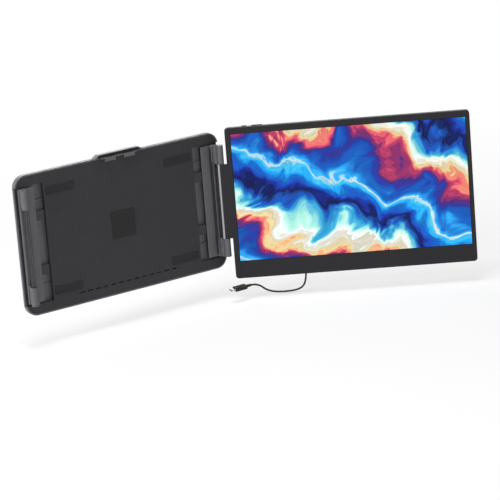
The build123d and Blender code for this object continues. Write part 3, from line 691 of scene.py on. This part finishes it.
@dataclass(frozen=True)
class StampedSocket(Finish):
    """A bright socket shell with a dark tongue in its middle."""

    colour: str = "d4d2ce"
    roughness: float = 0.28
    shadow: str = "8f8d8a"
    tongue: str = "17171a"
    lines: Point = (0.0005, 0.0005, 0.006)
    centre: Point = (0.0, 0.0, 0.0)
    pitch: float = 1.0
    half_width: float = 0.0032
    half_height: float = 0.00037
    side_blur: float = 0.00004
    face_blur: float = 0.00005
    upright: bool = True

    def paint(self, surface: Surface) -> None:
        """Nickel shell; the tongue is told by its place.

        Args:
            surface: The surface to paint.
        """
        local = surface.monitor_axes(self.centre)
        thin = surface.step(surface.math("ABSOLUTE", local["Y"]),
                            low=self.half_height + self.face_blur, high=self.half_height)
        near = surface.math("ABSOLUTE", surface.math(
            "WRAP", local["Z" if self.upright else "X"], self.pitch / 2, -self.pitch / 2))
        tongue = surface.math("MULTIPLY", thin, surface.step(
            near, low=self.half_width + self.side_blur, high=self.half_width))
        tone = surface.effect(Effect.LINES,
                              Place=surface.stretch(surface.place, self.lines))["Tone"]
        shell = surface.mix(tone, tint(self.shadow), tint(self.colour))
        surface.coat({
            "Base Color": surface.mix(tongue, shell, tint(self.tongue)),
            "Metallic": surface.math("SUBTRACT", 1.0, tongue),
            "Roughness": surface.math("MULTIPLY_ADD", tone, 0.2, self.roughness)})


@dataclass(frozen=True)
class CordJacket(Finish):
    """A soft extruded jacket with faint draw lines along it."""

    lint: float = 0.18

    def paint(self, surface: Surface) -> None:
        """Draw lines from the piece's own map, and a little lint.

        Args:
            surface: The surface to paint.
        """
        own = surface.add("ShaderNodeTexCoord").outputs["UV"]
        lines = surface.effect(Effect.LINES, Place=surface.stretch(own, (0.4, 0.05, 1.0)))
        colour = surface.mix(lines["Tone"], tint(self.colour), shade(self.colour, 1.6, lift=0.003))
        surface.coat({
            "Base Color": surface.film(colour, Effect.DUST, self.lint, LINT_TONE),
            "Roughness": surface.handled(self.roughness, swing=0.2),
            "Specular IOR Level": 0.35,
            "Normal": surface.relief(lines["Height"], depth=0.00003, strength=0.4)})


@dataclass(frozen=True)
class SpeakerMesh(Finish):
    """A dark module with a perforated front."""

    hole: str = "050505"

    def paint(self, surface: Surface) -> None:
        """Scattered round holes, and moulded grain between them.

        Args:
            surface: The surface to paint.
        """
        holes = surface.step(surface.spots(surface.place, 900.0), low=0.3, high=0.22)
        mottle = surface.effect(Effect.GRAIN, Grains=1800.0)["Mottle"]
        colour = surface.mix(mottle, tint(self.colour), shade(self.colour, 1.5, lift=0.004))
        surface.coat({
            "Base Color": surface.mix(holes, colour, tint(self.hole)),
            "Roughness": surface.math("MULTIPLY_ADD", mottle, 0.2, self.roughness),
            "Normal": surface.relief(surface.math("SUBTRACT", 1.0, holes), depth=0.0002,
                                     strength=0.7)})


# ------------------------------------------------------------ finishes
GRAPHITE = MouldedPlastic("graphite_plastic", "5f5e62", 0.42, rubbed_and_highlit="9c9ca0", sheen=0.3)
PANEL = MouldedPlastic("charcoal_panel", "29272a", 0.55, grains=1900.0, wear=0.3, dust=0.1,
                       sheen=0.3)
# Strong painted highlight on the clamp's edges, strong painted shade in its slots.
CLAMP = MouldedPlastic("clamp_moulding", "59595c", 0.38, rubbed_and_highlit="a2a2a6", wear=0.95,
                       edge=0.0005, grime=0.85, sheen=0.3)
CLIP = MouldedPlastic("clip_plastic", "565659", 0.38, rubbed_and_highlit="98989c", wear=0.55, sheen=0.35)
# The bezel has a painted highlight on its hinge barrel.
BEZEL = HighlitBarrel("bezel_moulding", "29282b", 0.5, rubbed_and_highlit="6d6c72", grains=2200.0,
                       depth=0.00002, contrast=0.1, dust=0.06, scratch=0.0, sheen=0.1)
COVER = MouldedPlastic("cover_plastic", "4b4a4e", 0.42, rubbed_and_highlit="98979d", grains=1300.0,
                       sheen=0.35)
KEYCAP = MouldedPlastic("button_moulding", "161617", 0.36, rubbed_and_highlit="6c6c70", grains=2400.0,
                        wear=0.6, sheen=0.3)
ACETAL = MouldedPlastic("acetal_guides", "2a2a2c", 0.36, rubbed_and_highlit="6f6f73", grains=2600.0,
                        depth=0.00001, wear=0.4, dust=0.05)
WASHER = MouldedPlastic("nylon_washers", "1f1f20", 0.4, rubbed_and_highlit="6a6a6c", grains=3000.0,
                        depth=0.00001, wear=0.3, dust=0.0)
CELL = MouldedPlastic("dark_cell", "0e0e11", 0.18, rubbed_and_highlit="2a2a2e", grains=3200.0,
                      depth=0.000005, wear=0.2, dust=0.02)
RUBBER = SoftRubber("soft_rubber", "1b1b1c", 0.78)
THUMB_RUBBER = SoftRubber("thumb_rubber", "0b0b0c", 0.85, dimples=1500.0, depth=0.00004)
GRIP_RUBBER = SoftRubber("plug_rubber", "121213", 0.62, dimples=2400.0, depth=0.00003)
LEG = DrawnMetal("anodised_leg", "4a494d", 0.46, along=(0.03, 0.001, 0.0006), metallic=0.6,
                 wear=0.7)
SLIDE_STEEL = DrawnMetal("coated_steel", "3d3d40", 0.42, along=(0.04, 0.0005, 0.0005),
                         metallic=0.85, wear=0.8)
PIN_STEEL = DrawnMetal("blackened_pin_steel", "4b4b4d", 0.3, along=(0.0004, 0.0004, 0.02),
                       wear=0.3, worn_and_highlit="8c8b89")
SPRING_STEEL = DrawnMetal("wound_spring_steel", "9a9894", 0.3, along=(0.01, 0.0003, 0.0003),
                          wear=0.3)
SCREW_STEEL = DrawnMetal("blackened_screws", "2b2b2d", 0.38, along=(0.0006, 0.0006, 0.0006),
                         metallic=0.9, wear=0.9)
NICKEL = DrawnMetal("nickel_plug", "c9c7c3", 0.26, along=(0.0005, 0.0005, 0.006), wear=0.3)
TRAY = DrawnMetal("backlight_sheet", "c4c4c2", 0.4, along=(0.05, 0.0008, 0.0008), turn=-0.595)
BOARD = CircuitBoard("green_board", "0f3d2a", 0.42)
SPEAKER = SpeakerMesh("speaker_module", "1d1d1f", 0.6)
JACKET = CordJacket("extruded_jacket", "0f0f10", 0.5)
PAINT_BANDS = (
    (0.0, "0c1245"), (0.07, "16309c"), (0.15, "1266d2"), (0.23, "18a0f0"), (0.30, "4ad2f8"),
    (0.335, "e8fbff"), (0.37, "2fb0f2"), (0.45, "1470d8"), (0.52, "173a9e"), (0.565, "3d2f8c"),
    (0.605, "a0346e"), (0.65, "dc4a6a"), (0.678, "e88670"), (0.702, "f2d48c"),
    (0.735, "f0e8c8"), (0.80, "f4f8f6"), (0.84, "a4ecdc"), (0.88, "38b8f0"), (0.93, "1858c0"),
    (1.0, "0c1245"))


# -------------------------------------------------------- sub-assemblies
class Workpiece:
    """One added piece, from an empty mesh to a dressed object."""

    def __init__(self, name: str) -> None:
        """Open an empty mesh for the piece."""
        self.name = name
        self.shape = bmesh.new()

    def round_edges(self, edges: Sequence[bmesh.types.BMEdge], radius: float,
                    segments: int = 3) -> None:
        """Round some edges of the mesh."""
        bmesh.ops.bevel(self.shape, geom=edges, offset=radius, affect="EDGES",
                        segments=segments, profile=0.5, material=-1)

    def bar(self, size: Point, place: Matrix, radius: float) -> None:
        """Add a bar with rounded edges.

        Args:
            size: Its length along each axis.
            place: Where its middle goes.
            radius: Radius of its edges.
        """
        made = bmesh.ops.create_cube(self.shape, size=1.0,
                                     matrix=place @ Matrix.Diagonal((*size, 1.0)))
        self.round_edges(list({e for v in made["verts"] for e in v.link_edges}), radius)

    def close(self, body: str, finish: Finish, slot: str) -> bpy.types.Object:
        """Turn the mesh into an object that rides on a body.

        Args:
            body: The body that carries it.
            finish: Its finish.
            slot: Not used.

        Returns:
            The finished object, at the origin.
        """
        bmesh.ops.remove_doubles(self.shape, verts=self.shape.verts, dist=1e-6)
        bmesh.ops.recalc_face_normals(self.shape, faces=self.shape.faces)
        mesh = bpy.data.meshes.new(self.name)
        self.shape.to_mesh(mesh)
        self.shape.free()
        mesh.materials.append(finish.build())
        piece = put(self.name, mesh)
        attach(piece, body)
        LOG.info("%s: %d faces on %s", self.name, len(mesh.polygons), body)
        return piece


class Assembly:
    """Dresses the solids of one sub-assembly and adds its own pieces."""

    def finishes(self) -> dict[str, Finish]:
        """Give the finish of each solid by its name."""
        return {}

    def dress(self) -> None:
        """Put each solid's finish on it and report it."""
        for node, finish in self.finishes().items():
            mesh = frame["nodes"][node].data
            mesh.materials.clear()
            mesh.materials.append(finish.build())
            LOG.info("%s: %s", node, finish.name)

    def build(self) -> None:
        """Make the pieces that the solids don't hold."""


@dataclass
class SeatFrame(Assembly):
    """The thin frame behind the lid, its pads, guides and screws."""

    def finishes(self) -> dict[str, Finish]:
        """Give the finish of each solid by its name."""
        return {"frame_rear_shell": GRAPHITE, "frame_front_panel": PANEL, "corner_pads": RUBBER,
                "seat_pad": RUBBER, "clamp_guides": ACETAL, "clip_guide": ACETAL,
                "friction_leaves": SPRING_STEEL, "spring_posts": GRAPHITE,
                "frame_screws": SCREW_STEEL, "kickstand_pin": PIN_STEEL}


@dataclass
class SideClamp(Assembly):
    """A sliding clamp with its rail, pads, pin and screws."""

    side: str

    def finishes(self) -> dict[str, Finish]:
        """Give the finish of each solid by its name."""
        kinds = {"clamp_slide": SLIDE_STEEL, "clamp_rail": CLAMP, "rail_pad": RUBBER,
                 "hinge_pin": PIN_STEEL, "hinge_washers": WASHER, "slide_screws": SCREW_STEEL}
        return {f"{self.side}_{kind}": finish for kind, finish in kinds.items()}


@dataclass
class TopClip(Assembly):
    """The sprung clip over the lid's top edge."""

    def finishes(self) -> dict[str, Finish]:
        """Give the finish of each solid by its name."""
        return {"clip_hook": CLIP, "clip_stem": SLIDE_STEEL, "clip_pad": RUBBER,
                "clip_grip": THUMB_RUBBER, "clip_springs": SPRING_STEEL}


@dataclass
class FoldingLeg(Assembly):
    """The fold-out leg on the frame's back."""

    half_width: float = 0.0560
    side_gap: float = 0.0006
    bush_length: float = 0.0030
    bush_radius: float = 0.0012
    bush_wall: float = 0.00035
    bush_sink: float = 0.0003
    bush_edge: float = 0.0001

    def build(self) -> None:
        """Put a bush with a sunk outer end on the pin at each side of the leg."""
        work = Workpiece("leg_bushes")
        for side in (-1, 1):
            middle = side * (self.half_width + self.side_gap + self.bush_length / 2)
            made = bmesh.ops.create_cone(
                work.shape, cap_ends=True, segments=40, radius1=self.bush_radius,
                radius2=self.bush_radius, depth=self.bush_length,
                matrix=Matrix.Translation((middle, *LEG_PIN))
                @ Matrix.Rotation(side * math.pi / 2, 4, "Y"))
            ends = [f for v in made["verts"] for f in v.link_faces if len(f.verts) > 4]
            outer = max(ends, key=lambda f: side * f.calc_center_median().x)
            bmesh.ops.inset_region(work.shape, faces=[outer], thickness=self.bush_wall)
            bmesh.ops.translate(work.shape, verts=outer.verts,
                                vec=(-side * self.bush_sink, 0.0, 0.0))
            work.round_edges(list(outer.edges), self.bush_edge, segments=2)
        work.close("frame", WASHER, "washer_nylon")

    def finishes(self) -> dict[str, Finish]:
        """Give the finish of each solid by its name."""
        return {"kickstand_plate": LEG, "kickstand_foot_pad": RUBBER}


@dataclass
class Monitor(Assembly):
    """The hinged monitor: its case, display, boards and sockets.

    Lengths along the monitor start at the hinge, and depths at the
    plane through the hinge's axis.
    """

    left: float = 0.0088
    width: float = 0.3577
    bottom: float = -0.1179
    height: float = 0.2286
    bezel_left: float = 0.0076
    bezel_right: float = 0.0059
    bezel_bottom: float = 0.0259
    bezel_top: float = 0.0091
    face: float = -0.0049
    glass: float = -0.00368
    gasket_gap: float = 0.00002
    gasket_width: float = 0.0008
    gasket_height: float = 0.0005
    gasket_edge: float = 0.00018
    crown_angle: float = 1.0
    socket_depth: float = 0.00255
    socket_pitch: float = 0.02
    side_sockets: float = 0.046
    video_socket: float = 0.088
    video_half_width: float = 0.0043
    bay_socket: tuple[float, float] = (0.1035, 0.0022)

    def point(self, along: float, depth: float, height: float) -> Point:
        """Turn a place on the monitor into the row frame.

        Args:
            along: Distance from the hinge along the monitor.
            depth: Distance behind the hinge's axis.
            height: Height in the row frame.

        Returns:
            The point in metres.
        """
        c, s = math.cos(MONITOR_TURN), math.sin(MONITOR_TURN)
        return (HINGE[0] + along * c - depth * s, HINGE[1] + along * s + depth * c, height)

    def window(self) -> tuple[float, float]:
        """Give the width and height of the bezel's window."""
        return (self.width - self.bezel_left - self.bezel_right,
                self.height - self.bezel_top - self.bezel_bottom)

    def build(self) -> None:
        """Seat the dark gasket between the bezel and the display."""
        work = Workpiece("display_gasket")
        wide, high = self.window()
        middle = self.point(self.left + self.bezel_left + wide / 2, self.glass - self.gasket_gap,
                            self.bottom + self.bezel_bottom + high / 2)
        bmesh.ops.create_grid(work.shape, x_segments=1, y_segments=1, size=0.5,
                              matrix=Matrix.Diagonal((wide, high, 1.0, 1.0)))
        window = list(work.shape.faces)
        bmesh.ops.inset_region(work.shape, faces=window, use_boundary=True,
                               use_even_offset=True, thickness=self.gasket_width)
        bmesh.ops.delete(work.shape, geom=window, context="FACES")
        ring = bmesh.ops.extrude_face_region(work.shape, geom=list(work.shape.faces),
                                             use_keep_orig=True)
        lifted = [v for v in ring["geom"] if isinstance(v, bmesh.types.BMVert)]
        bmesh.ops.translate(work.shape, verts=lifted, vec=(0.0, 0.0, self.gasket_height))
        bmesh.ops.recalc_face_normals(work.shape, faces=work.shape.faces)
        crown = [e for e in work.shape.edges
                 if all(v.co.z > self.gasket_height / 2 for v in e.verts)
                 and e.calc_face_angle(0.0) > self.crown_angle]
        work.round_edges(crown, self.gasket_edge)
        bmesh.ops.transform(
            work.shape, verts=work.shape.verts,
            matrix=Matrix.Translation(middle) @ Matrix.Rotation(MONITOR_TURN, 4, "Z")
            @ Matrix.Rotation(math.pi / 2, 4, "X"))
        work.close("monitor", THUMB_RUBBER, "pad_rubber")

    def finishes(self) -> dict[str, Finish]:
        """Give the finish of each solid, with the display and sockets in their places.

        Returns:
            Each finish by its solid's name.
        """
        picture = LitPicture(
            "lit_display", "050507", 0.3, high=self.window()[1], bands=PAINT_BANDS,
            origin=self.point(self.left + self.bezel_left, self.face,
                              self.bottom + self.bezel_bottom))
        far = self.left + self.width
        side = StampedSocket("nickel_sockets", pitch=self.socket_pitch, centre=self.point(
            far, self.socket_depth, self.bottom + self.side_sockets))
        video = StampedSocket(
            "nickel_video_socket", half_width=self.video_half_width,
            centre=self.point(far, self.socket_depth, self.bottom + self.video_socket))
        bay = StampedSocket("nickel_bay_socket", upright=False, centre=self.point(
            self.left + self.bay_socket[0], self.bay_socket[1], 0.0))
        return {
            "monitor_bezel": BEZEL, "display_glass": picture, "display_cell": CELL,
            "backlight_tray": TRAY, "driver_board": BOARD, "port_board": BOARD,
            "monitor_back_cover": COVER, "back_cover_screws": SCREW_STEEL,
            "usb_c_sockets": side, "mini_video_socket": video, "cord_socket": bay,
            "speakers": SPEAKER, "power_button": KEYCAP, "menu_button": KEYCAP,
            "monitor_plug_grip": GRIP_RUBBER, "monitor_plug_shell": NICKEL,
            "laptop_plug_grip": GRIP_RUBBER, "laptop_plug_shell": NICKEL}


@dataclass
class LinkCord(Assembly):
    """The short cord from the laptop's side to the monitor's bay."""

    diameter: float = 0.0028
    length: float = 0.1103
    grip_start: float = 0.1608
    grip_half: float = 0.0032
    lean: float = math.radians(7.2)
    rib: Point = (0.0008, 0.0064, 0.0006)
    rib_edge: float = 0.0002
    rib_start: float = 0.0022
    rib_pitch: float = 0.0019
    rib_count: int = 6
    route: tuple[Point, ...] = (
        (0.258874, -0.074738, -0.115700),
        (0.258874, -0.074738, -0.126000),
        (0.253874, -0.071238, -0.142000),
        (0.234500, -0.056000, -0.146000),
        (0.213000, -0.040500, -0.143800),
        (0.199000, -0.033000, -0.129400),
        (0.186000, -0.033000, -0.129400))

    def build_ribs(self) -> bpy.types.Object:
        """Raise finger ribs across both broad sides of the laptop plug.

        Returns:
            The ribs, as one piece.
        """
        work = Workpiece("plug_finger_ribs")
        grip = (Matrix.Translation((0.0, *self.route[-1][1:]))
                @ Matrix.Rotation(self.lean, 4, "X"))
        for side in (-1, 1):
            for row in range(self.rib_count):
                along = self.grip_start + self.rib_start + row * self.rib_pitch
                middle = Matrix.Translation((along, 0.0, side * self.grip_half))
                work.bar(self.rib, grip @ middle, self.rib_edge)
        return work.close("monitor", GRIP_RUBBER, "plug_grip")

    def build(self) -> None:
        """Lay the cord as one smooth spline and hang it on the monitor."""
        curve = bpy.data.curves.new("link_cord", "CURVE")
        curve.dimensions = "3D"
        curve.bevel_depth = self.diameter / 2
        curve.bevel_resolution = 6
        curve.resolution_u = 24
        curve.use_fill_caps = True
        spline = curve.splines.new("NURBS")
        spline.points.add(len(self.route) - 1)
        for knot, place in zip(spline.points, self.route):
            knot.co = (*place, 1.0)
        spline.order_u = 3
        spline.use_endpoint_u = True
        curve.materials.append(JACKET.build())
        piece = put("link_cord", curve)
        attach(piece, "monitor")
        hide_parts("cord")
        self.build_ribs()
        LOG.info("link_cord: %.0f mm of jacketed cord", self.length * 1000)


# ----------------------------------------------------------------- stage
@dataclass(frozen=True)
class Lamp:
    """One square soft lamp: its side in metres and power in watts."""

    name: str
    place: Point
    side: float
    power: float
    aim: Point = (0.1, 0.0, 0.0)

    def build(self) -> None:
        """Hang the lamp and turn it to its aim."""
        lamp = bpy.data.lights.new(self.name, "AREA")
        lamp.size, lamp.energy = self.side, self.power
        held = put(self.name, lamp)
        held.location = self.place
        away = Vector(self.aim) - Vector(self.place)
        held.rotation_mode = "QUATERNION"
        held.rotation_quaternion = away.to_track_quat("-Z", "Y")


@dataclass
class Studio:
    """A pale floor, soft lamps and the camera."""

    floor: float = -0.150
    reach: float = 16.0
    floor_grey: float = 0.86
    middle: tuple[float, float] = (0.15, 0.0)
    shadow_near: float = 0.4
    shadow_far: float = 1.2
    shadow_share: float = 0.38
    room_light: float = 0.18
    eye: Point = (-1.966243, -3.372284, 1.039598)
    turn: tuple[float, float, float, float] = (
        0.7547253623724782, 0.5857819249035862, -0.1474034255298311, -0.25597147104717016)
    lens: float = 201.48
    lamps: tuple[Lamp, ...] = (
        Lamp("key_lamp", (-2.8, -0.35, 0.95), side=0.8, power=66.0),
        Lamp("top_lamp", (-0.3, -0.3, 2.4), side=1.1, power=44.0),
        Lamp("fill_lamp", (-0.6, -3.0, 0.9), side=1.2, power=14.0),
        Lamp("rear_lamp", (0.8, 2.4, 1.3), side=1.6, power=26.0))

    def seen(self, graph: Graph) -> Socket:
        """Tell the rays that show the background from those that light.

        Args:
            graph: The shader's graph.

        Returns:
            One for camera, mirror and clear-glass rays, else zero.
        """
        rays = graph.add("ShaderNodeLightPath").outputs
        shown = graph.math("MAXIMUM", rays["Is Camera Ray"], rays["Is Glossy Ray"])
        return graph.math("MAXIMUM", shown, rays["Is Transmission Ray"])

    def build_world(self) -> None:
        """Even light from all round, seen as white."""
        world = bpy.data.worlds.new("studio")
        world.use_nodes = True
        bpy.context.scene.world = world
        graph = Graph(world.node_tree)
        back = graph.add("ShaderNodeBackground", {"Color": WHITE, "Strength": graph.math(
            "MULTIPLY_ADD", self.seen(graph), 1.0 - self.room_light, self.room_light)})
        graph.add("ShaderNodeOutputWorld", {"Surface": back.outputs["Background"]})

    def floor_finish(self) -> bpy.types.Material:
        """Mix a matt floor with white, less of it round the object.

        Returns:
            The floor's material.
        """
        made = bpy.data.materials.new("pale_floor")
        made.use_nodes = True
        graph = Graph(made.node_tree)
        matt = graph.add("ShaderNodeBsdfDiffuse", {"Color": (*(self.floor_grey,) * 3, 1.0)})
        glow = graph.add("ShaderNodeEmission", {"Color": WHITE, "Strength": 1.0})
        place = graph.add("ShaderNodeTexCoord").outputs["Object"]
        off = graph.vector("DISTANCE", place, (*self.middle, self.floor)).outputs["Value"]
        white = graph.math("MULTIPLY_ADD", graph.step(off, self.shadow_near, self.shadow_far),
                           self.shadow_share, 1.0 - self.shadow_share)
        both = graph.add("ShaderNodeMixShader", {
            0: graph.math("MULTIPLY", self.seen(graph), white),
            1: matt.outputs[0], 2: glow.outputs[0]})
        graph.add("ShaderNodeOutputMaterial", {"Surface": both.outputs[0]})
        return made

    def build_floor(self) -> None:
        """A wide pale floor that keeps the shadow."""
        shape = bmesh.new()
        bmesh.ops.create_grid(shape, x_segments=1, y_segments=1, size=self.reach,
                              matrix=Matrix.Translation((0.0, 0.0, self.floor)))
        mesh = bpy.data.meshes.new("floor")
        shape.to_mesh(mesh)
        shape.free()
        mesh.materials.append(self.floor_finish())
        floor = put("floor", mesh)

    def build_camera(self) -> None:
        """A long lens that looks down from the left."""
        lens = bpy.data.cameras.new("camera")
        lens.lens, lens.sensor_width = self.lens, 36.0
        lens.clip_end = 60.0
        camera = put("camera", lens)
        camera.location = self.eye
        camera.rotation_mode = "QUATERNION"
        camera.rotation_quaternion = Quaternion(self.turn)
        bpy.context.scene.camera = camera

    def build(self) -> None:
        """Set the whole stage."""
        bpy.context.scene.view_settings.view_transform = "Standard"
        self.build_camera()
        self.build_world()
        self.build_floor()
        for lamp in self.lamps:
            lamp.build()
        LOG.info("stage: floor, %d lamps and the camera", len(self.lamps))


def assemblies() -> tuple[Assembly, ...]:
    """Give the sub-assemblies in the order they are made."""
    return (LinkCord(), SeatFrame(), SideClamp("right"), SideClamp("left"), TopClip(),
            FoldingLeg(), Monitor())


def main() -> None:
    """Set the stage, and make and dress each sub-assembly."""
    logging.basicConfig(level=logging.INFO, format="%(name)s %(message)s")
    Studio().build()
    for part in assemblies():
        part.build()
        part.dress()


if __name__ == "__main__":
    main()
